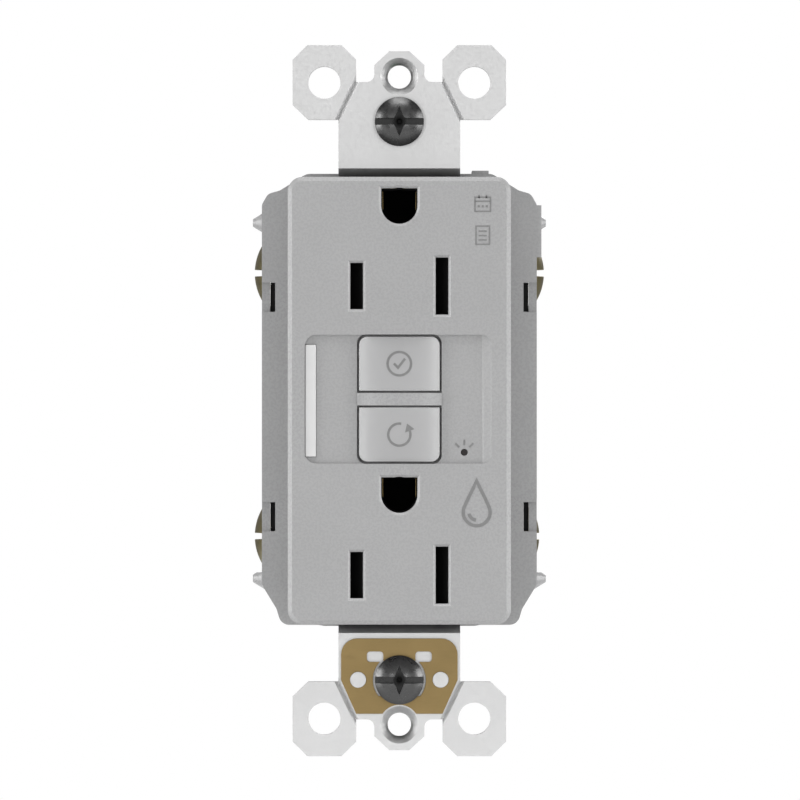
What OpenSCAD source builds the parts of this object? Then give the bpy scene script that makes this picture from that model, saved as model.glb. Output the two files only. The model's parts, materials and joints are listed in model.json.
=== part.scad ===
// Self-test ground-fault outlet: a duplex receptacle with test and reset buttons.
// X is right, Y is depth (the face looks along -Y), Z is up. All lengths are millimetres.
// The origin is the middle of the strap's wall side, halfway between the two box screws.

/* [Face] */
// Width of the face
face_w = 33.2; // [32.8:0.1:33.3]
// Height of the face
face_h = 66.6; // [66:0.1:66.8]
// Corner radius of the face
face_r = 2.2; // [1.5:0.1:3]
// How far the face stands in front of the wall
face_front = 6.6; // [6:0.1:7.5]
// Thickness of the face
face_t = 2.0; // [1.6:0.1:2.4]
// Depth of the shallow panel round the buttons
panel_depth = 0.5; // [0.3:0.1:0.7]

/* [Outlets] */
// Height of the upper outlet's blade slots
upper_z = 17.05; // [16.5:0.05:17.5]
// Height of the lower outlet's blade slots
lower_z = -25.95; // [-26.5:0.05:-25.5]
// Half the distance between the two blades
blade_x = 6.35; // [6.3:0.05:6.4]
// Distance from the blades up to the ground pin
ground_up = 11.95; // [11.85:0.05:12.05]
// Width of a blade slot
slot_w = 1.9; // [1.8:0.05:2]
// Height of the short slot
hot_slot_h = 6.9; // [6.8:0.1:7.2]
// Height of the tall slot
neutral_slot_h = 8.5; // [8.3:0.1:8.7]
// Radius of the ground hole
ground_r = 2.7; // [2.6:0.05:2.8]

/* [Buttons] */
// Half the width of a button's opening
button_open = 6.3; // [6.1:0.1:6.5]
// Lower and upper edges of the test button's opening
test_span = [1.15, 9.85];
// Lower and upper edges of the reset button's opening
reset_span = [-9.4, -0.7];
// Gap round a button
button_gap = 0.3; // [0.2:0.05:0.35]

/* [Strap] */
// Thickness of the strap
strap_t = 1.3; // [1.2:0.05:1.4]
// Half the distance between the box screws
box_screw_z = 41.67; // [41.6:0.01:41.7]
// Half the distance between the cover-plate screw holes
plate_hole_z = 48.4; // [48.3:0.05:48.5]
// Half the length of the strap
strap_end = 53.1; // [52.8:0.1:53.4]
// Radius of an ear hole
ear_hole_r = 2.4; // [2.2:0.1:2.5]
// Radius of a six-thirty-two screw
screw_r = 1.75; // [1.7:0.01:1.8]

/* [Housing] */
// Half the width of the housing
body_half = 20.6; // [20.4:0.1:20.8]
// Depth at which the strap meets the housing
body_front = 3.0; // [2.8:0.1:3.2]
// Depth at which the middle housing meets the back housing
body_split = 15.5; // [15.3:0.1:15.8]
// Depth of the back of the housing
body_back = 27.2; // [27:0.1:28]
// Height of the line terminals
line_z = 19.2; // [19:0.1:19.4]
// Height of the load terminals
load_z = -20.4; // [-20.6:0.1:-20.2]
// Depth of the terminal screws' axes
terminal_y = 9.6; // [9.4:0.1:9.8]

/* [Hidden] */
$fn = 48;

GREY = [0.67, 0.67, 0.67];
STEEL = [0.84, 0.84, 0.84];
DARK = [0.2, 0.2, 0.21];
BRASS = [0.62, 0.53, 0.34];
BLACK = [0.1, 0.1, 0.11];

// Depths, front to back
face_y = -face_front;
face_inner = face_y + face_t;
strap_front = -strap_t;
strap_inner_front = body_front - strap_t;
board_y = 22.6;
board_t = 1.2;

// Middles of the buttons
test_z = (test_span[0] + test_span[1]) / 2;
reset_z = (reset_span[0] + reset_span[1]) / 2;

// Housing screws
case_screw = [12.9, 29.6];
case_screw_r = 1.1;

// Terminals: distances from the middle plane
term_plate = [14.9, 15.9];
term_clamp = [18.4, 19.4];
term_head_under = 19.5;
term_shank_r = 2.08;
term_shank_end = 13.4;
pocket_half = 5.4;
turned_in = 0.7;
wire_x = (term_plate[1] + term_clamp[0]) / 2;
wire_hole_r = 1.5;
wire_step = 3.6;

// Ground terminal on the top end
ground_x = 5.6;
ground_y = 9.5;
ground_plate = [34.1, 35.0];
ground_clamp_z = [37.2, 37.9];
ground_head_under = 37.95;

// Notches in the flange and the strips that close them
notch_z = [[13.3, 17.7], [-19.6, -15.2]];
strip_x = [18.6, 19.4];
strip_y = [4.45, 5.05];

// Trip mechanism
solenoid_y = 17.6;
rod_hole_r = 1.6;
arm_x = 6.5;
arm_y = [16.1, 16.5];
arm_pivot_z = 11.2;
arm_end_z = 12.0;
carrier_y = [16.6, 18.0];
latch_y = [18.1, 18.7];
toroid_z = 19.5;
contact_z = -5.5;

// ---------- shapes ----------
module span_box(x, y, z) {
    translate([x[0], y[0], z[0]]) cube([x[1] - x[0], y[1] - y[0], z[1] - z[0]]);
}

// A 2-D outline in X and Z, as thick as y says
module slab(y) {
    translate([0, y[1], 0]) rotate([90, 0, 0]) linear_extrude(y[1] - y[0]) children();
}

module rod_y(x, z, y, r) {
    translate([x, y[1], z]) rotate([90, 0, 0]) cylinder(r = r, h = y[1] - y[0]);
}

module rod_x(y, z, x, r) {
    translate([x[0], y, z]) rotate([0, 90, 0]) cylinder(r = r, h = x[1] - x[0]);
}

module rod_z(x, y, z, r) {
    translate([x, y, z[0]]) cylinder(r = r, h = z[1] - z[0]);
}

module rounded_rect(x, z, r) {
    translate([x[0] + r, z[0]]) square([x[1] - x[0] - 2 * r, z[1] - z[0]]);
    translate([x[0], z[0] + r]) square([x[1] - x[0], z[1] - z[0] - 2 * r]);
    for (cx = [x[0] + r, x[1] - r], cz = [z[0] + r, z[1] - r])
        translate([cx, cz]) circle(r);
}

module both_sides() {
    children();
    mirror([1, 0, 0]) children();
}

// Outlines: each point is [x, z, corner radius]
function unit(v) = v / norm(v);
function flat(p) = [p[0], p[1]];
function corner(a, b, c, r, n) =
    let (u = unit(a - b), v = unit(c - b), half = acos(u * v) / 2,
         centre = b + unit(u + v) * r / sin(half),
         s = b + u * r / tan(half) - centre, e = b + v * r / tan(half) - centre,
         start = atan2(s[1], s[0]),
         sweep = ((atan2(e[1], e[0]) - start + 540) % 360) - 180)
    [for (i = [0:n]) centre + r * [cos(start + sweep * i / n), sin(start + sweep * i / n)]];
function outline(p, n = 6) =
    let (m = len(p))
    [for (i = [0:m - 1])
        each (p[i][2] > 0
            ? corner(flat(p[(i + m - 1) % m]), flat(p[i]), flat(p[(i + 1) % m]), p[i][2], n)
            : [flat(p[i])])];
// The right half's points and their mirror images
function whole(p) = concat(p, [for (i = [len(p) - 1:-1:0]) [-p[i][0], p[i][1], p[i][2]]]);

// A wound spring along +Z as one swept tube
module coil_spring(r, wire, length, turns, sides = 6, steps = 14) {
    count = turns * steps;
    function ring(i) =
        let (a = 360 * i / steps, z = wire + (length - 2 * wire) * i / count)
        [for (k = [0:sides - 1])
            let (b = 360 * k / sides, out = r + wire * cos(b))
            [out * cos(a), out * sin(a), z + wire * sin(b)]];
    points = [for (i = [0:count]) each ring(i)];
    walls = [for (i = [0:count - 1], k = [0:sides - 1])
        let (n = (k + 1) % sides)
        [i * sides + k, (i + 1) * sides + k, (i + 1) * sides + n, i * sides + n]];
    ends = [[for (k = [0:sides - 1]) k], [for (k = [sides - 1:-1:0]) count * sides + k]];
    polyhedron(points, concat(walls, ends));
}

// ---------- openings in the face ----------
module ground_hole(z, grow = 0) {
    r = ground_r + grow;
    translate([0, z]) circle(r);
    translate([-r, z]) square([2 * r, ground_r - 0.1 + grow]);
}

module blade_slot(x, z, h, grow = 0) {
    translate([x, z]) square([slot_w + 2 * grow, h + 2 * grow], center = true);
}

module outlet_openings(z) {
    blade_slot(-blade_x, z, hot_slot_h);
    blade_slot(blade_x, z, neutral_slot_h);
    ground_hole(z + ground_up);
}

// A hole's sloped rim: as wide as x and z at the face, and slope narrower that far behind it
module rim(x, z, slope) {
    y = [face_y - 0.1, face_y + slope];
    out = 0.1;
    intersection() {
        translate([0, 0, z[0] - 1]) linear_extrude(z[1] - z[0] + 2)
            polygon([[x[0] - out, y[0]], [x[1] + out, y[0]],
                     [x[1] - slope, y[1]], [x[0] + slope, y[1]]]);
        translate([x[0] - 1, 0, 0]) rotate([90, 0, 90]) linear_extrude(x[1] - x[0] + 2)
            polygon([[y[0], z[0] - out], [y[0], z[1] + out],
                     [y[1], z[1] - slope], [y[1], z[0] + slope]]);
    }
}

module outlet_rims(zc) {
    slope = 0.35;
    half = slot_w / 2 + slope;
    out_r = ground_r + slope;
    ground_z = zc + ground_up;
    rim([-blade_x - half, -blade_x + half],
        [zc - hot_slot_h / 2 - slope, zc + hot_slot_h / 2 + slope], slope);
    rim([blade_x - half, blade_x + half],
        [zc - neutral_slot_h / 2 - slope, zc + neutral_slot_h / 2 + slope], slope);
    rim([-out_r, out_r], [ground_z - slope, ground_z + ground_r - 0.1 + slope], slope);
    translate([0, face_y - 0.1, ground_z]) rotate([-90, 0, 0])
        cylinder(r1 = out_r + 0.1, r2 = ground_r, h = slope + 0.1);
}

// up is 1 where the rounded corners are at the top
module button_shape(spread, span, up) {
    r = 1.3;
    half = button_open + spread;
    low = span[0] - spread;
    high = span[1] + spread;
    rounded_rect([-half, half], [low, high], r);
    translate([-half, up > 0 ? low : (low + high) / 2]) square([2 * half, (high - low) / 2]);
}

// ---------- covers ----------
// The front edge of the face, bevelled all round
module bevelled_front(bevel) {
    half_w = face_w / 2;
    half_h = face_h / 2;
    y = [face_y, face_y + bevel];
    translate([face_r - half_w, 0, 0]) rotate([90, 0, 90]) linear_extrude(face_w - 2 * face_r)
        polygon([[y[0], bevel - half_h], [y[0], half_h - bevel], [y[1], half_h], [y[1], -half_h]]);
    translate([0, 0, face_r - half_h]) linear_extrude(face_h - 2 * face_r)
        polygon([[bevel - half_w, y[0]], [half_w - bevel, y[0]], [half_w, y[1]], [-half_w, y[1]]]);
    for (x = [face_r - half_w, half_w - face_r], z = [face_r - half_h, half_h - face_r])
        translate([x, y[0], z]) rotate([-90, 0, 0]) cylinder(r1 = face_r - bevel, r2 = face_r, h = bevel);
}

// The finger scoop in the buttons and in the bar between them
module scoop_bar() {
    intersection() {
        span_box([-button_open, button_open], [face_y - 1, face_y + 1],
                 [reset_span[1] - 0.1, test_span[0] + 0.1]);
        scoop([reset_span[1] - 1, test_span[0] + 1]);
    }
}

module scoop(z) {
    r = 26;
    rise = r - sqrt(r * r - button_open * button_open);
    translate([0, face_y - 0.15 + rise - r, z[0]]) cylinder(r = r, h = z[1] - z[0], $fn = 128);
}

module front_cover() {
    wall = 1.5;
    bevel = 0.65;
    half_w = face_w / 2;
    half_h = face_h / 2;
    panel_x = [-14.0, 13.75];
    panel_z = [-9.35, 9.8];
    ramp = 1.5;
    boss_r = 2.0;
    strap_half = 9.75;
    color(GREY) difference() {
        union() {
            difference() {
                union() {
                    slab([face_y + bevel, body_front])
                        rounded_rect([-half_w, half_w], [-half_h, half_h], face_r);
                    bevelled_front(bevel);
                }
                slab([face_inner, body_front + 1])
                    rounded_rect([wall - half_w, half_w - wall], [wall - half_h, half_h - wall], 1);
            }
            for (x = [-case_screw[0], case_screw[0]], z = [-case_screw[1], case_screw[1]])
                rod_y(x, z, [face_inner - 0.1, body_front], boss_r);
        }
        for (x = [-case_screw[0], case_screw[0]], z = [-case_screw[1], case_screw[1]])
            rod_y(x, z, [face_inner, body_front + 1], case_screw_r + 0.05);
        difference() {
            slab([face_y - 1, face_y + panel_depth]) rounded_rect(panel_x, panel_z, 1.6);
            difference() {
                span_box([-button_open, button_open], [face_y - 0.1, face_y + 1],
                         [reset_span[1] - 0.1, test_span[0] + 0.1]);
                scoop([reset_span[1] - 1, test_span[0] + 1]);
            }
            translate([0, 0, panel_z[0] - 1]) linear_extrude(panel_z[1] - panel_z[0] + 2)
                polygon([[panel_x[1] - ramp, face_y + panel_depth], [panel_x[1] + 0.3, face_y - 0.1],
                         [panel_x[1] + 0.3, face_y + 1], [panel_x[1] - ramp, face_y + 1]]);
        }
        scoop_bar();
        outlet_rims(upper_z);
        outlet_rims(lower_z);
        slab([face_y - 1, face_inner + 1]) {
            outlet_openings(upper_z);
            outlet_openings(lower_z);
            button_shape(0, test_span, 1);
            button_shape(0, reset_span, -1);
            translate([9.66, -7.68]) circle(0.52);
            translate([-14.05, -8.4]) square([1.7, 16.8]);
        }
        span_box([-strap_half, strap_half], [strap_inner_front - 0.7, body_front + 1],
                 [-half_h - 1, half_h + 1]);
    }
}

middle_outline = whole([
    [13.9, 34.0, 2], [17.9, 31.5, 1.5], [19.7, 31.0, 1.4], [20.6, 29.4, 1],
    [20.6, -27.6, 2], [18.4, -31.2, 1], [17.7, -33.6, 1.6], [14.7, -33.6, 0]
]);
back_outline = whole([
    [11.4, 34.1, 3], [15.4, 33.0, 2], [17.4, 31.4, 1], [19.4, 30.8, 1.4], [20.2, 29.2, 1],
    [20.2, -27.4, 2], [18.0, -31.0, 1], [16.6, -33.2, 1.6], [11.4, -34.1, 3]
]);

module terminal_pockets(y) {
    both_sides() for (z = [line_z, load_z])
        span_box([term_plate[0], body_half + 1], y, [z - pocket_half, z + pocket_half]);
}

module case_screw_holes(y, r) {
    for (x = [-case_screw[0], case_screw[0]], z = [-case_screw[1], case_screw[1]])
        rod_y(x, z, y, r);
}

module light_pipe_slot(y, grow) {
    span_box([-13.7 - grow, -12.7 + grow], y, [-1.5 - grow, 1.5 + grow]);
}

module middle_housing() {
    flange_t = 1.4;
    chamber_floor = 12.9;
    chamber_x = [4.3, 10.6];
    nub_z = 26.7;
    nub_y = 6.0;
    nub_reach = 1.4;
    inside = [body_front - 1, body_split + 1];
    color(GREY) difference() {
        union() {
            slab([body_front, body_split]) polygon(outline(middle_outline));
            both_sides() for (z = [-nub_z, nub_z])
                translate([body_half - 0.3, nub_y, z]) rotate([0, 90, 0])
                    cylinder(r1 = 1.6, r2 = 0.55, h = nub_reach + 0.3);
            span_box([18, 21.3], [body_front + 0.1, body_split - 2.5], [21.5, 29.3]);
            span_box([10.9, 13.4], [body_front + 1, body_split], [32, 34.5]);
        }
        both_sides() {
            span_box(chamber_x, [inside[0], chamber_floor], [-30, 22.5]);
            for (z = [line_z, load_z])
                rod_x(terminal_y, z, [chamber_x[1] - 0.5, term_plate[0] + 0.5], term_shank_r + 0.4);
            for (z = notch_z) {
                span_box([strip_x[1], body_half + 1], [inside[0], body_front + 0.8], z);
                span_box(strip_x, [inside[0], strip_y[1] + 0.05], z);
            }
            span_box([chamber_x[1] - 0.1, term_plate[0] + 0.1], [5.9, 7.1], [-25.0, -23.2]);
        }
        for (z = [upper_z + ground_up, lower_z + ground_up])
            span_box([-3.6, 3.6], [inside[0], 14.6], [z - 3.6, z + 3.4]);
        span_box([-chamber_x[1], chamber_x[1]], inside, [-9.9, 10.2]);
        span_box([-term_plate[0] - 0.1, term_plate[0] + 0.1], [13.8, inside[1]],
                 [toroid_z - 1.2, toroid_z + 1.2]);
        terminal_pockets([body_front + flange_t, inside[1]]);
        case_screw_holes(inside, case_screw_r + 0.3);
        light_pipe_slot(inside, 0.15);
        rod_z(ground_x, ground_y, [29, 36], term_shank_r + 0.4);
    }
}

module insulating_strips() {
    gap = 0.05;
    color(BLACK) both_sides() for (z = notch_z)
        span_box([strip_x[0] + gap, strip_x[1] - gap], strip_y, [z[0] + gap, z[1] - gap]);
}

module back_housing() {
    wall = 1.6;
    shelf_y = 18.6;
    inner_x = 18.6;
    block_x = 14.4;
    block_half = pocket_half + 1.3;
    inside = [body_split - 1, body_back - wall];
    color(GREY) difference() {
        union() {
            difference() {
                slab([body_split, body_back]) polygon(outline(back_outline));
                span_box([-inner_x, inner_x], inside, [-27, 28.6]);
                span_box([-15, 15], inside, [-31.6, 31.9]);
            }
            both_sides() for (z = [line_z, load_z])
                span_box([block_x, inner_x + 0.5], [body_split, body_back],
                         [z - block_half, z + block_half]);
            case_screw_holes([body_split, body_back], 2.9);
        }
        terminal_pockets([inside[0], shelf_y]);
        case_screw_holes([inside[0], body_back + 1], case_screw_r + 0.3);
        case_screw_holes([24.6, body_back + 1], 2.4);
        slab([body_back - 0.3, body_back + 1]) {
            rounded_rect([-8.6, 8.6], [-23.5, 21.5], 1.2);
            rounded_rect([-10.9, -9.7], [-14.0, 1.9], 0.55);
        }
        both_sides() for (z = [line_z, load_z], side = [-wire_step, wire_step])
            rod_y(wire_x, z + side, [inside[0], body_back + 1], wire_hole_r);
    }
}

module housing_screws() {
    head_r = 2.2;
    under = 24.6;
    color(STEEL) for (x = [-case_screw[0], case_screw[0]], z = [-case_screw[1], case_screw[1]])
        difference() {
            union() {
                rod_y(x, z, [-2.5, under], case_screw_r);
                rod_y(x, z, [under, under + 1.6], head_r);
            }
            span_box([x - 1.3, x + 1.3], [under + 0.8, under + 2], [z - 0.3, z + 0.3]);
            span_box([x - 0.3, x + 0.3], [under + 0.8, under + 2], [z - 1.3, z + 1.3]);
        }
}

// ---------- strap ----------
strap_end_half = [
    [1.5, 52.2, 0], [3.75, 50.1, 0], [3.75, 47.6, 1.1], [6.45, 47.6, 0], [6.45, 50.95, 0],
    [8.65, strap_end, 0], [13.75, strap_end, 0], [15.95, 50.9, 0], [15.95, 44.2, 0],
    [13.6, 41.95, 0], [9.1, 41.95, 0], [9.1, 35.2, 0]
];

module strap_bend() {
    half = 9.1;
    profile = [[strap_front, 36], [0, 36], [0, 35.35], [body_front, 33.6], [body_front, 32.6],
               [strap_inner_front, 32.6], [strap_inner_front, 33.05], [strap_front, 34.7]];
    translate([-half, 0, 0]) rotate([90, 0, 90]) linear_extrude(2 * half) polygon(profile);
}

// The score lines on both sides along which an ear breaks off
module ear_groove() {
    low = [9.35, 41.7];
    high = [6.3, 48.1];
    run = high - low;
    past = 1.2;
    front = strap_front - 0.1;
    half = 0.5;
    translate([low[0], 0, low[1]]) rotate([0, 90 - atan2(run[1], run[0]), 0])
        translate([0, 0, -past]) linear_extrude(norm(run) + 2 * past) {
            polygon([[-half, front], [half, front], [0, front + 0.6]]);
            polygon([[-0.35, 0.1], [-0.08, -0.3], [0.08, -0.3], [0.35, 0.1]]);
        }
}

module plate_screw_hole(z) {
    waist_r = 2.1;
    translate([0, strap_front, z]) rotate([-90, 0, 0]) {
        translate([0, 0, -0.1]) cylinder(r1 = 2.88, r2 = waist_r, h = 1.0);
        translate([0, 0, 0.89]) cylinder(r1 = waist_r, r2 = screw_r, h = 0.6);
    }
    rod_y(0, z, [strap_front - 1, 3], screw_r);
}

module mounting_strap() {
    spine = 4.6;
    opening_half = 3.2;
    middle = 8.4;
    slot_half = 3.0;
    slot_r = screw_r + 0.2;
    rivet_x = 6.16;
    color(STEEL) difference() {
        union() {
            for (flip = [0, 1]) mirror([0, 0, flip]) {
                slab([strap_front, 0]) polygon(outline(whole(strap_end_half)));
                strap_bend();
                rod_y(0, plate_hole_z, [-0.5, 1.0], 2.75);
            }
            slab([strap_inner_front, body_front]) {
                translate([-spine, -33]) square([2 * spine, 66]);
                rounded_rect([-middle, middle], [-9.6, 10.0], 0.8);
            }
            for (x = [-rivet_x, rivet_x])
                rod_y(x, -box_screw_z, [strap_front - 0.55, strap_front + 0.1], 1.17);
        }
        for (flip = [0, 1]) mirror([0, 0, flip]) {
            slab([strap_front - 1, 1])
                rounded_rect([-slot_half, slot_half], [box_screw_z - slot_r, box_screw_z + slot_r],
                             slot_r - 0.01);
            plate_screw_hole(plate_hole_z);
            both_sides() {
                rod_y(11.2, 47.5, [strap_front - 1, 1], ear_hole_r);
                ear_groove();
            }
        }
        slab([strap_inner_front - 1, body_front + 1]) {
            for (z = [upper_z + ground_up, lower_z + ground_up])
                translate([-opening_half, z - opening_half]) square(2 * opening_half);
            translate([0, test_z]) circle(rod_hole_r);
            translate([0, reset_z]) circle(rod_hole_r);
        }
    }
}

clip_outline = whole([
    [8.7, -35.5, 2.4], [8.7, -41.7, 0], [6.45, -46.75, 0]
]);

module self_ground_clip() {
    t = 0.4;
    inner = 3.35;
    outer = 3.95;
    color(BRASS) slab([strap_front - t, strap_front]) difference() {
        polygon(outline(clip_outline));
        translate([0, -plate_hole_z]) circle(3.0);
        both_sides_2d() {
            translate([6.16, -box_screw_z]) circle(1.2);
            rounded_rect([2.4, 4.85], [-39.0, -37.45], 0.5);
            intersection() {
                translate([0, -box_screw_z]) difference() {
                    circle(outer);
                    circle(inner);
                }
                translate([2.2, -44.1]) square([3, 5.3]);
            }
        }
        translate([0, -box_screw_z]) circle(screw_r + 0.25);
        translate([-1.2, -box_screw_z]) circle(screw_r + 0.25);
        translate([1.2, -box_screw_z]) circle(screw_r + 0.25);
    }
}

module both_sides_2d() {
    children();
    mirror([1, 0]) children();
}

// ---------- box screws ----------
mount_head_r = 3.67;
mount_head_h = 2.2;
mount_length = 22;

module mounting_screw(z, seat) {
    neck_r = 1.6;
    neck_end = 1.2;
    dome = 5.3;
    slot_floor = seat - mount_head_h + 1.45;
    top = seat - mount_head_h;
    color(DARK) difference() {
        union() {
            rod_y(0, z, [seat, neck_end], neck_r);
            rod_y(0, z, [neck_end, seat + mount_length], screw_r);
            translate([0, seat, z]) rotate([90, 0, 0]) rotate_extrude($fn = 96) intersection() {
                translate([0, mount_head_h - dome]) circle(dome);
                square([mount_head_r, 5]);
            }
        }
        span_box([-5, 5], [top - 1, slot_floor], [z - 0.5, z + 0.5]);
        slab([top - 1, slot_floor + 0.3]) translate([0, z])
            polygon([[-0.95, 0], [0, 2.25], [0.95, 0], [0, -2.25]]);
        translate([0, top - 0.1, z]) rotate([-90, 0, 0]) cylinder(r1 = 1.0, r2 = 0.3, h = 2.1);
    }
}

module screw_retainer(z) {
    color(BLACK) slab([0.05, 0.9]) difference() {
        translate([0, z]) square([7.6, 7.2], center = true);
        translate([0, z]) circle(screw_r + 0.05);
    }
}

// ---------- buttons ----------
module button(span, up, z, stem) {
    lip = [face_inner + 0.05, face_inner + 1.05];
    cap_front = face_y - 0.15;
    color(GREY) difference() {
        union() {
            slab([cap_front, face_inner + 1]) button_shape(-button_gap, span, up);
            slab(lip) button_shape(0.35, span, up);
            if (stem > 0) {
                rod_y(0, z, [lip[0], stem - 1], 1.1);
                rod_y(0, z, [stem - 1.1, stem], 0.6);
            }
        }
        scoop([span[0] - 1, span[1] + 1]);
        if (stem == 0) rod_y(0, z, [lip[1] - 2.2, lip[1] + 1], 1.05);
    }
}

module test_button() { button(test_span, 1, test_z, 5.35); }
module reset_button() { button(reset_span, -1, reset_z, 0); }

module reset_rod() {
    neck = 0.7;
    color(STEEL) {
        rod_y(0, reset_z, [-5.7, 13], 1.0);
        rod_y(0, reset_z, [13, 20.5], neck);
        rod_y(0, reset_z, [20.5, 21.5], 1.0);
    }
}

module button_spring(z) {
    start = face_inner + 1.1;
    color(STEEL) translate([0, start, z]) rotate([-90, 0, 0])
        coil_spring(2.1, 0.25, strap_inner_front - start - 0.05, 5);
}

module test_switch_arm() {
    color(BRASS) {
        span_box([-1.6, 7.2], [5.6, 5.9], [test_z - 0.9, test_z + 0.9]);
        rod_y(-0.9, test_z, [5.9, 6.4], 0.6);
        rod_z(7.0, 5.75, [test_z - 1.1, test_z + 1.1], 0.35);
    }
}

// ---------- lights and board ----------
module status_light_pipe() {
    color([0.95, 0.95, 0.95]) {
        span_box([-13.98, -12.42], [face_y + 0.2, face_inner + 0.6], [-8.33, 8.33]);
        light_pipe_slot([face_inner + 0.5, 21.0], 0);
    }
}

module fault_light_pipe() {
    color([0.15, 0.12, 0.12]) rod_y(9.66, -7.68, [face_y + panel_depth + 0.2, 21.0], 0.48);
}

module circuit_board() {
    color([0.1, 0.35, 0.2]) slab([board_y, board_y + board_t]) difference() {
        rounded_rect([-14.1, 14.1], [-26.4, 26.4], 0.8);
        translate([0, reset_z]) circle(2.2);
    }
}

module indicator_leds() {
    color([0.9, 0.9, 0.8]) {
        span_box([-13.9, -12.5], [21.1, board_y], [-1.4, 1.4]);
        rod_y(9.66, -7.68, [21.1, board_y], 1.3);
    }
}

module toroid(y, r) {
    color([0.55, 0.3, 0.15]) translate([0, y[0], toroid_z]) rotate([-90, 0, 0])
        rotate_extrude() translate([r[0], 0])
            rounded_rect([0, r[1] - r[0]], [0, y[1] - y[0]], 0.8);
}

module sensing_transformer() { toroid([16.2, 18.8], [3.1, 6.1]); }
module grounding_transformer() { toroid([19.3, 21.9], [3.1, 6.1]); }

module transformer_housing() {
    color(BLACK) translate([0, 15.6, toroid_z]) rotate([-90, 0, 0]) rotate_extrude()
        polygon([[2.4, 0], [6.8, 0], [6.8, 6.9], [6.3, 6.9], [6.3, 0.5], [2.9, 0.5],
                 [2.9, 6.9], [2.4, 6.9]]);
}

module varistor() {
    color([0.1, 0.25, 0.6]) {
        rod_z(-7.5, 19.1, [-18.2, -15.8], 3.4);
        for (x = [-9.5, -5.5]) rod_y(x, -17, [21.0, board_y + 0.0], 0.3);
    }
}

module board_components() {
    color([0.25, 0.25, 0.3]) {
        for (z = [-15.5, -22]) rod_y(6.5, z, [16.2, board_y], 2.6);
        span_box([-2.4, 1.6], [21.2, board_y], [-24.6, -19.6]);
        span_box([-12.5, -10.3], [18.4, board_y], [-24.2, -19.8]);
        for (z = [5.5, 8.0, 22.5]) rod_x(21.8, z, [8.6, 13.0], 0.75);
        for (z = [-11.5, 3.0]) rod_x(21.9, z, [-12.2, -8.6], 0.65);
    }
}

// ---------- trip mechanism ----------
module solenoid_bobbin() {
    core = 2.4;
    color(BLACK) difference() {
        union() {
            for (z = [1.0, 9.2])
                span_box([-4.5, 4.5], [solenoid_y - 4.5, solenoid_y + 4.5], [z, z + 0.8]);
            rod_z(0, solenoid_y, [1.0, 10.0], core);
        }
        rod_z(0, solenoid_y, [0, 9.6], 1.6);
    }
}

module solenoid_coil() {
    color([0.72, 0.4, 0.2]) difference() {
        rod_z(0, solenoid_y, [1.85, 9.15], 4.3);
        rod_z(0, solenoid_y, [1, 10], 2.45);
    }
}

module solenoid_plunger() {
    color(STEEL) rod_z(0, solenoid_y, [-1.2, 8.2], 1.5);
}

module plunger_spring() {
    color(STEEL) translate([0, solenoid_y, 8.25]) coil_spring(1.1, 0.18, 1.3, 2);
}

module trip_latch() {
    color(STEEL) difference() {
        union() {
            span_box([-3, 3], latch_y, [-8.6, -1.3]);
            span_box([-1.4, 1.4], [16.2, latch_y[1]], [-1.9, -1.3]);
        }
        slab([latch_y[0] - 1, latch_y[1] + 1])
            {
                rounded_rect([-0.85, 0.85], [reset_z - 0.95, reset_z + 1.5], 0.84);
                translate([0, reset_z + 1.35]) circle(1.25);
            }
    }
}

module contact_carrier() {
    color(BLACK) difference() {
        union() {
            span_box([-8.3, 8.3], carrier_y, [-9.2, -2.9]);
            rod_y(0, reset_z, [12.2, carrier_y[0] + 0.1], 2.1);
        }
        rod_y(0, reset_z, [12, 19], 1.3);
        span_box([-1.8, 1.8], [16, 19], [-3.7, -2]);
    }
}

// side is -1 for the hot arm and 1 for the neutral one
module contact_arm(side) {
    x = side * arm_x;
    color(BRASS) {
        span_box([x - 1.3, x + 1.3], arm_y, [-8, arm_end_z]);
        rod_x((arm_y[0] + arm_y[1]) / 2, arm_pivot_z, [x - 1.5, x + 1.5], 0.45);
        rod_y(x, contact_z, [15.3, arm_y[0]], 1.3);
    }
}

module hot_contact_arm() { contact_arm(-1); }
module neutral_contact_arm() { contact_arm(1); }

module contact_bus() {
    inner_leaf = [5.05, 5.6];
    outer_leaf = [7.1, 7.65];
    strip = [7.65, 8.45];
    leaf_y = [4.4, 12.1];
    both = [contact_z - 2, contact_z + 2];
    color(BRASS) {
        for (z = [upper_z, lower_z]) {
            for (x = [inner_leaf, outer_leaf]) span_box(x, leaf_y, [z - 3.1, z + 3.1]);
            span_box([inner_leaf[0], outer_leaf[1]], [12.1, 12.7], [z - 3.1, z + 3.1]);
        }
        span_box(strip, [4.4, 9.0], [-29.05, 20.15]);
        span_box(strip, [8.9, 14.6], both);
        span_box([5.2, strip[1]], [14.0, 14.6], both);
        rod_y(arm_x, contact_z, [14.6, 15.2], 1.3);
    }
}

module hot_contact_bus() { mirror([1, 0, 0]) contact_bus(); }
module neutral_contact_bus() { contact_bus(); }

module ground_contact(z) {
    leaf = [2.45, 3.0];
    color(BRASS) {
        slab([body_front, 3.6]) difference() {
            translate([-3.3, z - 3.2]) square([6.6, 6.4]);
            ground_hole(z, 0.1);
        }
        both_sides() span_box(leaf, [3.5, 11], [z - 2.2, z + 2.4]);
    }
}

module upper_ground_contact() { ground_contact(upper_z + ground_up); }
module lower_ground_contact() { ground_contact(lower_z + ground_up); }

// ---------- shutters ----------
module shutter(zc) {
    land = 2.7;
    rail_z = [4.45, 5.05];
    back = -2.0;
    left = blade_x + 1.25;
    right = blade_x - 1.25;
    color(BLACK) {
        for (x = [-left, right]) translate([x, 0, zc - 4.45]) linear_extrude(8.9)
            polygon([[0, back], [0, -2.4], [2.0, -4.2], [land, -4.2], [land, back]]);
        for (side = [-1, 1])
            span_box([-left, right + 1], [-3.2, back],
                     side > 0 ? [zc + 4.4, zc + rail_z[1]] : [zc - rail_z[1], zc - 4.4]);
    }
}

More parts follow.
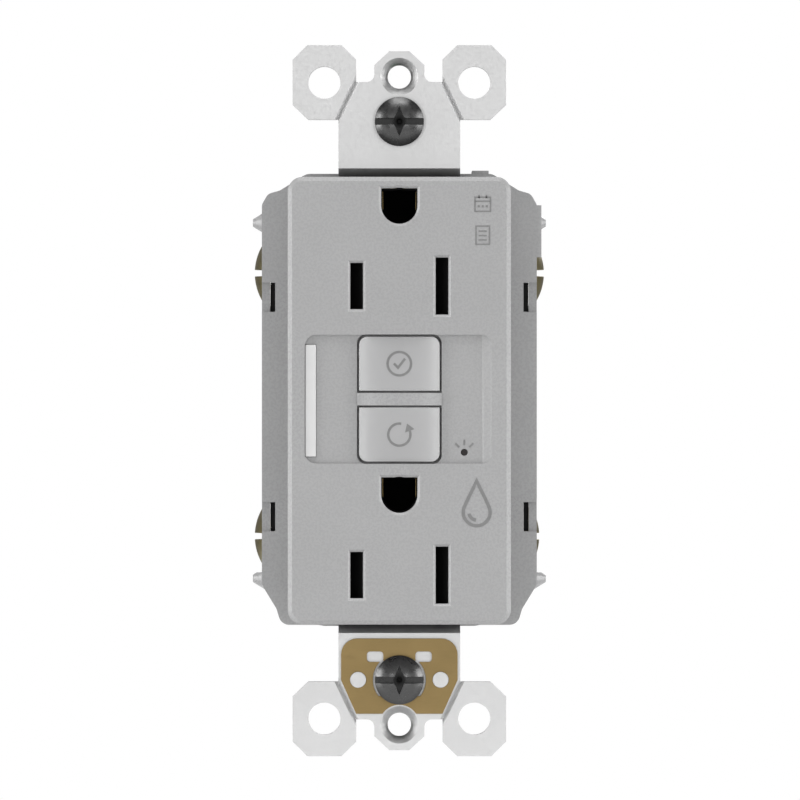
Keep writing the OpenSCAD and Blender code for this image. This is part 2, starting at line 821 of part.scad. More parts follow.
module shutter_spring(zc) {
    color(STEEL) translate([7.85, -3.15, zc]) rotate([0, 90, 0]) coil_spring(0.85, 0.2, 7.15, 6);
}

module shutter_base(zc) {
    base_y = [-1.8, -1.0];
    ground_z = zc + ground_up;
    color(BLACK) {
        slab(base_y) difference() {
            translate([-10.2, zc - 5.6]) square([20.4, ground_up + 5.6 + 2.6]);
            for (x = [-blade_x, blade_x]) blade_slot(x, zc, 8.6, 0.25);
            ground_hole(ground_z, -0.2);
        }
        slab([base_y[1] - 0.05, 2.9]) difference() {
            ground_hole(ground_z, 0.05);
            ground_hole(ground_z, -0.2);
        }
        for (x = [-9.6, 9.6], z = [zc - 4.9, zc + 4.9]) rod_y(x, z, [-1.1, body_front], 0.6);
    }
}

module upper_shutter() { shutter(upper_z); }
module lower_shutter() { shutter(lower_z); }
module upper_shutter_spring() { shutter_spring(upper_z); }
module lower_shutter_spring() { shutter_spring(lower_z); }
module upper_shutter_base() { shutter_base(upper_z); }
module lower_shutter_base() { shutter_base(lower_z); }

// ---------- terminals, drawn on the right and mirrored for the left ----------
module terminal_plate_shape(z) {
    difference() {
        span_box(term_plate, [5.0, 14.2], [z - 5.1, z + 5.1]);
        rod_x(terminal_y, z, [14, 17], term_shank_r + 0.05);
    }
}

module line_terminal() {
    strip_z = [toroid_z - 0.8, toroid_z + 0.8];
    color(BRASS) {
        terminal_plate_shape(line_z);
        span_box([0.9, term_plate[1]], [14.2, 14.8], strip_z);
        span_box([0.9, 1.5], [14.2, board_y], strip_z);
    }
}

module load_terminal() {
    color(BRASS) {
        terminal_plate_shape(load_z);
        span_box([8.5, term_plate[0]], [6.0, 7.0], [-24.9, -23.3]);
    }
}

module wire_clamp(z, inward = 0) {
    color(STEEL) translate([-inward, 0, 0]) difference() {
        span_box(term_clamp, [5.3, 13.9], [z - 5.0, z + 5.0]);
        rod_x(terminal_y, z, [18, 20], term_shank_r + 0.05);
    }
}

module terminal_screw(z, inward = 0) {
    head_r = 4.4;
    dome = 8.2;
    apex = 21.8;
    color(BRASS) translate([-inward, 0, 0]) difference() {
        union() {
            rod_x(terminal_y, z, [term_shank_end, term_head_under + 0.5], term_shank_r);
            translate([0, terminal_y, z]) rotate([0, 90, 0]) rotate_extrude($fn = 96) intersection() {
                translate([0, apex - dome]) circle(dome);
                translate([0, term_head_under]) square([head_r, 5]);
            }
        }
        span_box([apex - 1.35, apex + 1], [0, 20], [z - 0.5, z + 0.5]);
        span_box([apex - 1.1, apex + 1], [terminal_y - 0.5, terminal_y + 0.5], [z - 2.2, z + 2.2]);
    }
}

module left() { mirror([1, 0, 0]) children(); }

module line_hot_terminal() { left() line_terminal(); }
module line_neutral_terminal() { line_terminal(); }
module load_hot_terminal() { left() load_terminal(); }
module load_neutral_terminal() { load_terminal(); }
module line_hot_clamp() { left() wire_clamp(line_z); }
module line_neutral_clamp() { wire_clamp(line_z); }
module load_hot_clamp() { left() wire_clamp(load_z); }
module load_neutral_clamp() { wire_clamp(load_z, turned_in); }
module line_hot_screw() { left() terminal_screw(line_z); }
module line_neutral_screw() { terminal_screw(line_z); }
module load_hot_screw() { left() terminal_screw(load_z); }
module load_neutral_screw() { terminal_screw(load_z, turned_in); }

module ground_terminal() {
    color(STEEL) difference() {
        span_box([ground_x - 3.4, ground_x + 3.4], [body_front, 14], ground_plate);
        rod_z(ground_x, ground_y, [33, 36], term_shank_r + 0.05);
    }
}

module ground_clamp() {
    color(STEEL) difference() {
        span_box([ground_x - 3.4, ground_x + 3.4], [5.6, 13.4], ground_clamp_z);
        rod_z(ground_x, ground_y, [36, 39], term_shank_r + 0.05);
    }
}

module ground_screw() {
    hex_r = 3.8;
    top = 39.6;
    color([0.15, 0.4, 0.2]) difference() {
        union() {
            rod_z(ground_x, ground_y, [31.6, ground_head_under], term_shank_r);
            translate([ground_x, ground_y, ground_head_under]) rotate([0, 0, 30])
                cylinder(r = hex_r, h = top - ground_head_under, $fn = 6);
        }
        span_box([ground_x - 5, ground_x + 5], [ground_y - 0.5, ground_y + 0.5], [top - 0.9, top + 1]);
    }
}

front_cover();
middle_housing();
back_housing();
housing_screws();
mounting_strap();
self_ground_clip();
mounting_screw(box_screw_z, strap_front - 0.05);  // mounting_screw_top
mounting_screw(-box_screw_z, strap_front - 0.45);  // mounting_screw_bottom
screw_retainer(box_screw_z);  // screw_retainer_top
screw_retainer(-box_screw_z);  // screw_retainer_bottom
test_button();
button_spring(test_z);  // test_spring
test_switch_arm();
reset_button();
reset_rod();
button_spring(reset_z);  // reset_spring
status_light_pipe();
fault_light_pipe();
circuit_board();
indicator_leds();
sensing_transformer();
grounding_transformer();
transformer_housing();
solenoid_bobbin();
solenoid_coil();
solenoid_plunger();
plunger_spring();
trip_latch();
contact_carrier();
hot_contact_arm();
neutral_contact_arm();
hot_contact_bus();
neutral_contact_bus();
upper_ground_contact();
lower_ground_contact();
upper_shutter();
lower_shutter();
upper_shutter_spring();
lower_shutter_spring();
upper_shutter_base();
lower_shutter_base();
line_hot_terminal();
line_neutral_terminal();
load_hot_terminal();
load_neutral_terminal();
line_hot_clamp();
line_neutral_clamp();
load_hot_clamp();
load_neutral_clamp();
line_hot_screw();
line_neutral_screw();
load_hot_screw();
load_neutral_screw();
ground_terminal();
ground_clamp();
ground_screw();
varistor();
insulating_strips();
board_components();
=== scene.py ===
"""Looks for the ground-fault outlet: refined shells, screws with threads, printed marks and materials."""
import json
import math

import bmesh
import bpy
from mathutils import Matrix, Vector


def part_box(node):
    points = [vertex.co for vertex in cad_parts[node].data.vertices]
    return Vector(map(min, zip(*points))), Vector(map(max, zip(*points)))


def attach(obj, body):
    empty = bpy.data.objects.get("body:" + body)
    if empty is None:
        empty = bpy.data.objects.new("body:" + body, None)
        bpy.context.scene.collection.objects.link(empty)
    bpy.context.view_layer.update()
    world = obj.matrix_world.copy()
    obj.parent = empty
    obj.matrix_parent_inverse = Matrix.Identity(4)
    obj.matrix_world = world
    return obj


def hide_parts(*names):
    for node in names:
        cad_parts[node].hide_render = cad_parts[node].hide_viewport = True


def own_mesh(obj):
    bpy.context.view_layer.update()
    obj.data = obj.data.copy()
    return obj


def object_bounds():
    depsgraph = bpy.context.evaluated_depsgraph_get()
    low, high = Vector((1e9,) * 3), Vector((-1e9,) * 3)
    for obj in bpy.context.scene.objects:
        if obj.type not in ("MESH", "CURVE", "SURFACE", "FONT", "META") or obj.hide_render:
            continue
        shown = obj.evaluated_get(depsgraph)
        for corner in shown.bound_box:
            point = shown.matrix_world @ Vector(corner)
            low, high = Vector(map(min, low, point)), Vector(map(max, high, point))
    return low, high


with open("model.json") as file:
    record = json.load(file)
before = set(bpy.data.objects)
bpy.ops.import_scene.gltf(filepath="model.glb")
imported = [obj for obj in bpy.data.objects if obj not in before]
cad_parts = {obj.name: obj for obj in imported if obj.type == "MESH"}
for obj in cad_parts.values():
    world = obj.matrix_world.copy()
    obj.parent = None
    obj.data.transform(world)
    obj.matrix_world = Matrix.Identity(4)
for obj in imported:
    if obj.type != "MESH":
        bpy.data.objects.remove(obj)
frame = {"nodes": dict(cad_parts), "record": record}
cad_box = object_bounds()
NODES = frame["nodes"]
BEHAVIOUR = frame["record"]["behaviour"]
BODY_OF = {node: body for body, nodes in BEHAVIOUR["bodies"].items() for node in nodes}
SLOT_OF = {part["node"]: part["material_slot"] for part in frame["record"]["subparts"]}
MM = 0.001
MICRON = 0.000001


# ---------- shader nodes ----------
def add_node(tree, kind, **values):
    made = tree.nodes.new(kind)
    for key, value in values.items():
        setattr(made, key, value)
    return made


def map_range(tree, value, from_range, to_range, kind="LINEAR"):
    """Turns one range of values into another, and holds them at its ends."""
    made = add_node(tree, "ShaderNodeMapRange", interpolation_type=kind)
    names = ("From Min", "From Max", "To Min", "To Max")
    for name, number in zip(names, (*from_range, *to_range)):
        made.inputs[name].default_value = number
    tree.links.new(value, made.inputs["Value"])
    return made.outputs["Result"]


def grey(level):
    return (level, level, level)


def shade(colour, factor):
    return tuple(min(1.0, c * factor) for c in colour)


class Shader:
    """A small helper that wires one Principled material."""

    NOISE_SPAN = (0.3, 0.7)     # where most of a noise texture's values lie
    BEND_SHADE_SPAN = (-1.2 * MM, 0.8 * MM)     # from a bent sheet's front to where the painted shade of its bend is darkest
    HEAD_DEPTH = 3 * MM     # the depth that a screw head's ramp of painted shade covers
    RECESS_SPAN = (0.45 * MM, 1.15 * MM)     # from a driver recess's middle to its arms
    RECESS_SHADE = (0.9, 0.4)     # how strong the painted shade is at the middle and at the arms

    def __init__(self, name, **sockets):
        self.material = bpy.data.materials.new(name)
        self.material.use_nodes = True
        self.tree = self.material.node_tree
        self.bsdf = self.tree.nodes["Principled BSDF"]
        for key, value in sockets.items():
            self.bsdf.inputs[key.replace("_", " ")].default_value = value
        coordinates = self.node("ShaderNodeTexCoord")
        self.place = coordinates.outputs["Object"]
        self.normal = coordinates.outputs["Normal"]

    def node(self, kind, **values):
        return add_node(self.tree, kind, **values)

    def feed(self, value, socket):
        """Links an output to a socket, or sets the socket to a number or colour."""
        if isinstance(value, bpy.types.NodeSocket):
            self.tree.links.new(value, socket)
        else:
            socket.default_value = value

    def split(self, vector):
        made = self.node("ShaderNodeSeparateXYZ")
        self.feed(vector, made.inputs["Vector"])
        return made.outputs

    def maths(self, operation, *values):
        made = self.node("ShaderNodeMath", operation=operation)
        for value, socket in zip(values, made.inputs):
            self.feed(value, socket)
        return made.outputs["Value"]

    def mix(self, factor, a, b, blend="MIX"):
        made = self.node("ShaderNodeMix", data_type="RGBA", blend_type=blend)
        for name, value in (("Factor", factor), ("A", a), ("B", b)):
            self.feed(value, made.inputs[name])
        return made.outputs["Result"]

    def noise(self, scale, detail=3.0, stretch=(1, 1, 1), roughness=0.5):
        """Noise over the object's own coordinates, scale counted per metre."""
        mapping = self.node("ShaderNodeMapping")
        self.feed(stretch, mapping.inputs["Scale"])
        self.feed(self.place, mapping.inputs["Vector"])
        made = self.node("ShaderNodeTexNoise")
        self.feed(mapping.outputs["Vector"], made.inputs["Vector"])
        for name, value in (("Scale", scale), ("Detail", detail), ("Roughness", roughness)):
            self.feed(value, made.inputs[name])
        return made.outputs["Fac"]

    def ramp(self, value, stops):
        made = self.node("ShaderNodeValToRGB")
        elements = made.color_ramp.elements
        while len(elements) < len(stops):
            elements.new(0.5)
        for element, (position, colour) in zip(elements, stops):
            element.position = position
            element.color = (*colour, 1)
        self.feed(value, made.inputs["Fac"])
        return made.outputs["Color"]

    def cloudy(self, cloud, colour, darker, lighter):
        """A colour that drifts with a noise between two shades of itself."""
        low, high = self.NOISE_SPAN
        return self.ramp(cloud, [(low, shade(colour, darker)), (high, shade(colour, lighter))])

    def bump(self, value, depth, strength=1.0, under=None):
        made = self.node("ShaderNodeBump")
        self.feed(depth, made.inputs["Distance"])
        self.feed(strength, made.inputs["Strength"])
        self.feed(value, made.inputs["Height"])
        if under is not None:
            self.feed(under, made.inputs["Normal"])
        self.feed(made.outputs["Normal"], self.bsdf.inputs["Normal"])
        return made.outputs["Normal"]

    def paint_edge_shade(self, tone, axis, front_level, deep_level):
        """Paints shade on what doesn't face along the sheet's axis: its cut edges, bends and score lines,
        which turn away from the light.

        They get front_level of the tone at the sheet's front, and deep_level further in, where the painted
        shade deepens.
        """
        level = map_range(self.tree, self.split(self.place)[axis], self.BEND_SHADE_SPAN, (front_level, deep_level))
        turned = self.maths("ABSOLUTE", self.split(self.normal)[axis])
        facing = self.ramp(turned, [(0.1, grey(0.0)), (0.95, grey(1.0))])
        return self.mix(1.0, tone, self.mix(facing, level, (*grey(1), 1)), "MULTIPLY")

    def paint_recess_shade(self, tone, front, centre_z):
        """Paints shade on a screw head as it gets deeper: a little at its rim, most in the middle of its
        driver recess.

        The screws stand at centre_z above and below the origin, with the tops of their heads at y = front.
        """
        place = self.split(self.place)
        across = self.node("ShaderNodeCombineXYZ")
        self.feed(place["X"], across.inputs["X"])
        self.feed(self.maths("SUBTRACT", self.maths("ABSOLUTE", place["Z"]), centre_z), across.inputs["Z"])
        radius = self.node("ShaderNodeVectorMath", operation="LENGTH")
        self.feed(across.outputs["Vector"], radius.inputs[0])
        near = map_range(self.tree, radius.outputs["Value"], self.RECESS_SPAN, self.RECESS_SHADE)
        depth = map_range(self.tree, place["Y"], (front, front + self.HEAD_DEPTH), (0, 1))
        # painted shade: none on the dome's middle, all of it in the recess and at the rim, none on the shank
        inside = self.ramp(depth, [(0.15, grey(0)), (0.45, grey(1)), (0.68, grey(1)), (0.72, grey(0))])
        return self.mix(self.maths("MULTIPLY", near, inside), tone, (*grey(0.002), 1))

    def colour(self, output):
        self.feed(output, self.bsdf.inputs["Base Color"])

    def rough(self, value, low, high):
        """Lets the roughness drift with a noise between low and high."""
        self.feed(map_range(self.tree, value, self.NOISE_SPAN, (low, high)), self.bsdf.inputs["Roughness"])


# ---------- materials ----------
SOFT_DEPTH = 20 * MICRON     # the slow waves under every finish
SOFT_STRENGTH = 0.2


def moulded(name, colour, roughness=0.42, grain=2600, depth=8 * MICRON, mottle=0.03, specular=0.5):
    """Injection-moulded plastic: fine spark-eroded grain, faint flow mottle."""
    s = Shader(name, IOR=1.5, Specular_IOR_Level=specular)
    cloud = s.noise(90, 4)
    s.colour(s.cloudy(cloud, colour, 1 - mottle, 1 + mottle))
    fine = s.noise(grain, 2, roughness=0.6)
    s.rough(fine, roughness - 0.02, roughness + 0.03)
    s.bump(fine, depth, 0.35, s.bump(cloud, SOFT_DEPTH, SOFT_STRENGTH))
    return s.material


def glossy_plastic(name, colour, roughness=0.16):
    """Polished or varnished plastic, with a thin clear coat."""
    s = Shader(name, IOR=1.5, Coat_Weight=0.3, Coat_Roughness=0.08)
    cloud = s.noise(300, 3)
    s.colour(s.cloudy(cloud, colour, 0.96, 1.03))
    s.rough(s.noise(1500, 2), roughness - 0.03, roughness + 0.05)
    s.bump(cloud, SOFT_DEPTH, SOFT_STRENGTH)
    return s.material


def metal(name, colour, roughness=0.35, stretch=(1, 1, 1), grain=1500, spots=0.06, metallic=1.0,
          depth=6 * MICRON, cut=None, recess=None):
    """Plated or rolled metal: fine grain, cloudy plating.

    One shade argument paints shade on cut edges, bends and score lines, given as (the sheet's axis, front
    level, deep level); the other paints shade in screws' driver recesses, given as (the heads' front, their
    centres' z).
    """
    s = Shader(name, Metallic=metallic)
    cloud = s.noise(140, 5)
    tone = s.ramp(cloud, [(0.25, shade(colour, 1 - spots)), (0.5, colour), (0.75, shade(colour, 1 + spots))])
    if cut:
        tone = s.paint_edge_shade(tone, *cut)
    if recess:
        tone = s.paint_recess_shade(tone, *recess)
    s.colour(tone)
    lines = s.noise(grain, 3, stretch, 0.65)
    s.rough(lines, roughness - 0.07, roughness + 0.09)
    s.bump(lines, depth, 0.45, s.bump(cloud, SOFT_DEPTH, SOFT_STRENGTH))
    return s.material


def wound_wire(name, colour):
    """Enamelled wire laid in close turns, with painted shade in the grooves between them."""
    s = Shader(name, Metallic=0.75, Coat_Weight=0.6, Coat_Roughness=0.12)
    wave = s.node("ShaderNodeTexWave", wave_type="BANDS", bands_direction="Z")
    for key, value in (("Scale", 900), ("Distortion", 0.6), ("Vector", s.place)):
        s.feed(value, wave.inputs[key])
    turns = wave.outputs["Fac"]
    # painted shade: the colour darkens into the grooves between turns
    s.colour(s.ramp(turns, [(0.1, shade(colour, 0.45)), (0.8, colour)]))
    s.rough(s.noise(800, 2), 0.22, 0.36)
    s.bump(turns, 80 * MICRON, 0.8)
    return s.material


def printed(name, colour):
    """Pad-printed ink of uneven density."""
    s = Shader(name)
    cloud = s.noise(1800, 4)
    s.colour(s.cloudy(cloud, colour, 0.92, 1.1))
    s.rough(cloud, 0.5, 0.65)
    return s.material


SCREW_LOW, SCREW_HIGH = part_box("mounting_screw_top")
SCREW_RECESS = (SCREW_LOW.y, (SCREW_LOW.z + SCREW_HIGH.z) / 2)
LINES_ALONG_X, LINES_ALONG_Z = (0.2, 1, 1), (1, 1, 0.15)     # scales that draw a metal's grain out into lines
FINISHES = {
    "gray_housing": (moulded, (0.3, 0.3, 0.302), {"roughness": 0.27, "depth": 2 * MICRON, "mottle": 0.02}),
    "gray_button": (moulded, (0.33, 0.33, 0.332),
                    {"roughness": 0.24, "grain": 1800, "depth": 1.5 * MICRON, "mottle": 0.02}),
    "zinc_steel": (metal, grey(0.75), {"roughness": 0.4, "grain": 2200, "spots": 0.03, "depth": 3 * MICRON}),
    "spring_steel": (metal, grey(0.55), {"roughness": 0.25, "grain": 900}),
    # the clip's edges and sides get painted shade
    "clip_brass": (metal, (0.275, 0.197, 0.087), {"roughness": 0.42, "stretch": LINES_ALONG_X, "grain": 1800,
                                                  "spots": 0.1, "cut": ("Y", 0.4, 0.4)}),
    "contact_brass": (metal, (0.75, 0.55, 0.25), {"roughness": 0.3, "stretch": LINES_ALONG_Z, "grain": 1800,
                                                  "spots": 0.1}),
    "terminal_screw_brass": (metal, (0.28, 0.24, 0.125), {"roughness": 0.34, "spots": 0.1}),
    # the screw heads get painted shade, deepest in their driver recesses
    "dark_screw": (metal, grey(0.09), {"roughness": 0.3, "spots": 0.04, "depth": 2 * MICRON,
                                       "recess": SCREW_RECESS}),
    "ground_green": (metal, (0.04, 0.22, 0.09), {"roughness": 0.32, "spots": 0.1, "metallic": 0.6}),
    "black_plastic": (moulded, grey(0.006), {"roughness": 0.6, "mottle": 0.08, "specular": 0.15}),
    "status_lens": (glossy_plastic, grey(0.56), {}),
    "fault_lens": (glossy_plastic, (0.012, 0.008, 0.008), {"roughness": 0.12}),
    "board_green": (glossy_plastic, (0.015, 0.13, 0.05), {"roughness": 0.3}),
    "led_body": (glossy_plastic, (0.75, 0.75, 0.62), {"roughness": 0.12}),
    "core_winding": (wound_wire, (0.62, 0.24, 0.09), {}),
    "varistor_blue": (glossy_plastic, (0.02, 0.07, 0.32), {"roughness": 0.3}),
    "component_black": (moulded, grey(0.02), {"roughness": 0.38}),
    # painted shade on the strap's edges and score lines, near black deep in its bends
    "strap_steel": (metal, grey(0.64), {"roughness": 0.42, "grain": 2200, "spots": 0.02, "depth": 2 * MICRON,
                                        "cut": ("Y", 0.85, 0.02)}),
    "mark_ink": (printed, grey(0.16), {}),
}
MATERIALS = {name: make(name, colour, **values) for name, (make, colour, values) in FINISHES.items()}


def finish_of(node):
    """A node's material: its slot's, but the strap has a steel of its own, with painted shade on its edges
    and bends.
    """
    return MATERIALS["strap_steel" if node == "mounting_strap" else SLOT_OF[node]]


# ---------- mesh helpers ----------
MERGE_DISTANCE = 2 * MICRON
FLAT_ANGLE = math.radians(0.6)
MOST_SIDES = 12
MANY_HOLES = ("middle_housing", "back_housing", "mounting_strap")


def add_piece(name, mesh, node, material=None, smooth=True):
    """A new piece that moves with a CAD node's body and takes its finish."""
    obj = bpy.data.objects.new(name, mesh)
    bpy.context.scene.collection.objects.link(obj)
    mesh.materials.clear()
    mesh.materials.append(material or finish_of(node))
    if smooth:
        mesh.shade_smooth()
    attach(obj, BODY_OF[node])
    return obj


def finished(bm, name):
    """The mesh that a bmesh holds, which is then freed."""
    mesh = bpy.data.meshes.new(name)
    bm.to_mesh(mesh)
    bm.free()
    return mesh


def tube(bm, rings, looped=False):
    """Joins rings of vertices in a row, and caps its two ends or joins them up."""
    sides = len(rings[0])
    pairs = list(zip(rings, rings[1:])) + ([(rings[-1], rings[0])] if looped else [])
    for a, b in pairs:
        for k in range(sides):
            n = (k + 1) % sides
            bm.faces.new((a[k], a[n], b[n], b[k]))
    if not looped:
        bm.faces.new(rings[0][::-1])
        bm.faces.new(rings[-1])


def tube_mesh(name, runs):
    """One mesh of several tubes, each given as (rings of points, looped)."""
    bm = bmesh.new()
    for rings, looped in runs:
        tube(bm, [[bm.verts.new(point) for point in ring] for ring in rings], looped)
    bmesh.ops.recalc_face_normals(bm, faces=bm.faces)
    return finished(bm, name)


def clean_copy(node, change=None):
    """A CAD node's mesh with its triangles merged back into whole faces, but not those round many holes."""
    bm = bmesh.new()
    bm.from_mesh(NODES[node].data)
    bmesh.ops.remove_doubles(bm, verts=bm.verts, dist=MERGE_DISTANCE)
    bmesh.ops.dissolve_limit(bm, angle_limit=FLAT_ANGLE, use_dissolve_boundaries=False,
                             verts=bm.verts, edges=bm.edges, delimit=set())
    if node in MANY_HOLES:
        bmesh.ops.triangulate(bm, faces=[f for f in bm.faces if len(f.verts) > MOST_SIDES])
    if change:
        change(bm)
    bm.verts.index_update()
    mesh = bpy.data.meshes.new(node)
    mesh.from_pydata([v.co[:] for v in bm.verts], [], [[v.index for v in f.verts] for f in bm.faces])
    bm.free()
    mesh.update()
    return mesh


def refined(node, edge, segments=2, angle=24, change=None):
    """Stands for a CAD node with its sharp edges rounded."""
    obj = add_piece(node + "_shell", clean_copy(node, change), node)
    bevel = obj.modifiers.new("edges", "BEVEL")
    bevel.width = edge
    bevel.segments = segments
    bevel.limit_method = "ANGLE"
    bevel.angle_limit = math.radians(angle)
    bevel.miter_outer = "MITER_ARC"
    bevel.use_clamp_overlap = True
    bevel.harden_normals = True
    normals = obj.modifiers.new("normals", "WEIGHTED_NORMAL")
    normals.keep_sharp = True
    normals.weight = 60
    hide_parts(node)


# ---------- shells ----------
TERMINALS = ("line_hot", "line_neutral", "load_hot", "load_neutral")
EDGES_MM = {
    "front_cover": 0.15, "middle_housing": 0.2, "back_housing": 0.2, "mounting_strap": 0.1,
    "self_ground_clip": 0.06, "test_button": 0.16, "reset_button": 0.16, "status_light_pipe": 0.12,
    "housing_screws": 0.08, "ground_terminal": 0.08, "ground_clamp": 0.08, "ground_screw": 0.12,
    "screw_retainer_top": 0.08, "screw_retainer_bottom": 0.08,
}
EDGES_MM.update({f"{terminal}_clamp": 0.1 for terminal in TERMINALS})
EDGES_MM.update({f"{terminal}_terminal": 0.08 for terminal in TERMINALS})
for node_name, edge_mm in EDGES_MM.items():
    refined(node_name, edge_mm * MM)


# ---------- screws ----------
PITCH = 0.794 * MM
RIDGE_SHARE = 0.88     # how much of the pitch a thread's ridge covers
CREST_SHARE = 0.12     # how much of the ridge is its flat crest
SUNK = 0.05 * MM     # how far the ridge's foot is sunk into the shank
PLAIN_NECK = 0.4 * MM     # what stays unthreaded under a head


def thread_mesh(name, start, axis, length, core, crest, steps=28):
    """A helical V thread, which rises from its core over the first turn and sinks over the last."""
    side = axis.orthogonal().normalized()
    up = axis.cross(side).normalized()
    turns = length / PITCH
    count = int(turns * steps)
    half = PITCH * RIDGE_SHARE / 2
    flat = half * CREST_SHARE
    rings = []
    for i in range(count + 1):
        t = i / count
        angle = 2 * math.pi * turns * t
        out = side * math.cos(angle) + up * math.sin(angle)
        centre = start + axis * (t * (length - 2 * half) + half)
        fade = min(1.0, t * count / steps, (1 - t) * count / steps)
        tip = core + (crest - core) * fade
        profile = ((-half, core - SUNK), (-flat, tip), (flat, tip), (half, core - SUNK))
        rings.append([centre + axis * along + out * radius for along, radius in profile])
    return tube_mesh(name, [(rings, False)])


def slim_shank(under_head, axis, core, wider_than):
    """Draws what is wider than a radius, beyond a screw's neck, in to its thread's core."""
    def change(bm):
        for v in bm.verts:
            offset = v.co - under_head
            along = offset.dot(axis)
            radial = offset - axis * along
            if along > PLAIN_NECK and radial.length > wider_than:
                v.co = under_head + axis * along + radial.normalized() * core
    return change


def threaded_screw(node, edge, slim, start, axis, length, core, crest):
    """A screw's shell with its shank slimmed, and a thread of the given length on it."""
    refined(node, edge, segments=3, angle=28, change=slim)
    name = node + "_thread"
    add_piece(name, thread_mesh(name, start, axis, length, core, crest), node)


def box_screw(node):
    """One of the screws into the box, along Y, whose neck is thinner than its shank and keeps its size."""
    edge, head, plain_tip = 0.09 * MM, 2.2 * MM, 0.1 * MM
    neck_end = 1.3 * MM     # the thread's first y
    core, crest = 1.4 * MM, 1.74 * MM
    slimmed, wider_than_neck = 1.42 * MM, 1.7 * MM
    inward = Vector((0, 1, 0))
    low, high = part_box(node)
    z = (low.z + high.z) / 2
    slim = slim_shank(Vector((0, low.y + head, z)), inward, slimmed, wider_than_neck)
    start = Vector((0, neck_end, z))
    threaded_screw(node, edge, slim, start, inward, high.y - neck_end - plain_tip, core, crest)


def terminal_screw(node):
    """One of the side terminals' screws, along X into the housing."""
    edge, head, plain_tip = 0.1 * MM, 2.3 * MM, 0.05 * MM
    neck_end = 0.3 * MM     # the thread's start, from under the head
    core, crest, slimmed = 1.7 * MM, 2.07 * MM, 1.72 * MM
    low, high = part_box(node)
    side = 1 if low.x > 0 else -1
    outer, inner = (high.x, low.x) if side > 0 else (low.x, high.x)
    inward = Vector((-side, 0, 0))
    under = abs(outer) - head
    under_head = Vector((side * under, (low.y + high.y) / 2, (low.z + high.z) / 2))
    slim = slim_shank(under_head, inward, slimmed, slimmed)
    length = under - abs(inner) - neck_end - plain_tip
    threaded_screw(node, edge, slim, under_head + inward * neck_end, inward, length, core, crest)


for place in ("top", "bottom"):
    box_screw(f"mounting_screw_{place}")
for terminal in TERMINALS:
    terminal_screw(f"{terminal}_screw")


# ---------- compression springs ----------
def coil_height(t, rise, end, share):
    """How far up a spring's wire is at t, from 0 to 1; its first and last share rise only to end."""
    if t < share:
        return end * t / share
    if t > 1 - share:
        return rise - end * (1 - t) / share
    return end + (rise - 2 * end) * (t - share) / (1 - 2 * share)


def coil_rings(low, high, axis, wire, turns, sides=10, steps=36, closed=0.75):
    """Rings of points along a spring that fills a box; closed is how much of its end turns lies flat."""
    centre = (low + high) / 2
    first, second = (i for i in range(3) if i != axis)
    radius = min(high[first] - low[first], high[second] - low[second]) / 2 - wire
    rise = high[axis] - low[axis] - 2 * wire
    end = min(2 * wire * closed, rise / 4)
    count = turns * steps
    rings = []
    for i in range(count + 1):
        height = coil_height(i / count, rise, end, closed / turns)
        turn = 2 * math.pi * turns * i / count
        ring = []
        for k in range(sides):
            angle = 2 * math.pi * k / sides
            out = radius + wire * math.cos(angle)
            point = Vector((0, 0, 0))
            point[axis] = low[axis] + wire + height + wire * math.sin(angle)
            point[first] = centre[first] + out * math.cos(turn)
            point[second] = centre[second] + out * math.sin(turn)
            ring.append(point)
        rings.append(ring)
    return rings


def wound(node, axis, wire, turns):
    """A round-wire spring with closed end turns."""
    low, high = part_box(node)
    rings = coil_rings(low, high, axis, wire, turns)
    obj = add_piece(node + "_wound", tube_mesh(node, [(rings, False)]), node)
    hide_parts(node)
    anchor = (low + high) / 2
    anchor[axis] = high[axis]
    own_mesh(obj)


AXIS_X, AXIS_Y = 0, 1
for button in ("test", "reset"):
    wound(f"{button}_spring", AXIS_Y, 0.24 * MM, 5)
for place in ("upper", "lower"):
    wound(f"{place}_shutter_spring", AXIS_X, 0.19 * MM, 6)


# ---------- printed marks, in millimetres ----------
FACE_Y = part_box("front_cover")[0].y / MM
PANEL_DEPTH = 0.5
BUTTON_PROUD = 0.15
SCOOP_R = 26.0
SCOOP_HALF = 6.3
INK_PROUD = 0.025
INK_SUNK = 0.04
BUTTON_LINE = 0.36
FINE_LINE = 0.22


def face(x):
    return FACE_Y


def panel(x):
    return FACE_Y + PANEL_DEPTH


def scooped(x):
    """The buttons' hollow front, which stands proud of the face at its two sides."""
    centre_y = FACE_Y - BUTTON_PROUD - math.sqrt(SCOOP_R ** 2 - SCOOP_HALF ** 2)
    return centre_y + math.sqrt(SCOOP_R ** 2 - x ** 2)


def middle(node):
    low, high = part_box(node)
    return (low.z + high.z) / 2 / MM


def pointing(degrees):
    angle = math.radians(degrees)
    return Vector((math.cos(angle), math.sin(angle)))


def on_surface(point, surface, sunk):
    x, z = point
    return Vector((x, surface(x) + sunk, z)) * MM


def line_edges(points, closed, width):
    """The two edges of a line of even width along points, mitred at its corners."""
    steps = [(b - a).normalized() for a, b in zip(points, points[1:] + points[:1])]
    last = len(points) - 1
    for i, point in enumerate(points):
        leaving = steps[i] if closed or i < last else steps[i - 1]
        arriving = steps[i - 1] if closed or i else leaving
        along = (arriving + leaving).normalized()
        across = Vector((-along.y, along.x))
        reach = width / 2 / max(0.5, across.dot(Vector((-leaving.y, leaving.x))))
        yield point + across * reach, point - across * reach


def ribbon(name, strokes, width, surface, node):
    """Printed lines: each stroke is (points, closed), and surface gives y at x."""
    runs = []
    for points, closed in strokes:
        rings = [[on_surface(a, surface, -INK_PROUD), on_surface(b, surface, -INK_PROUD),
                  on_surface(b, surface, INK_SUNK), on_surface(a, surface, INK_SUNK)]
                 for a, b in line_edges([Vector(p) for p in points], closed, width)]
        runs.append((rings, closed))
    add_piece(name, tube_mesh(name, runs), node, MATERIALS["mark_ink"], smooth=False)


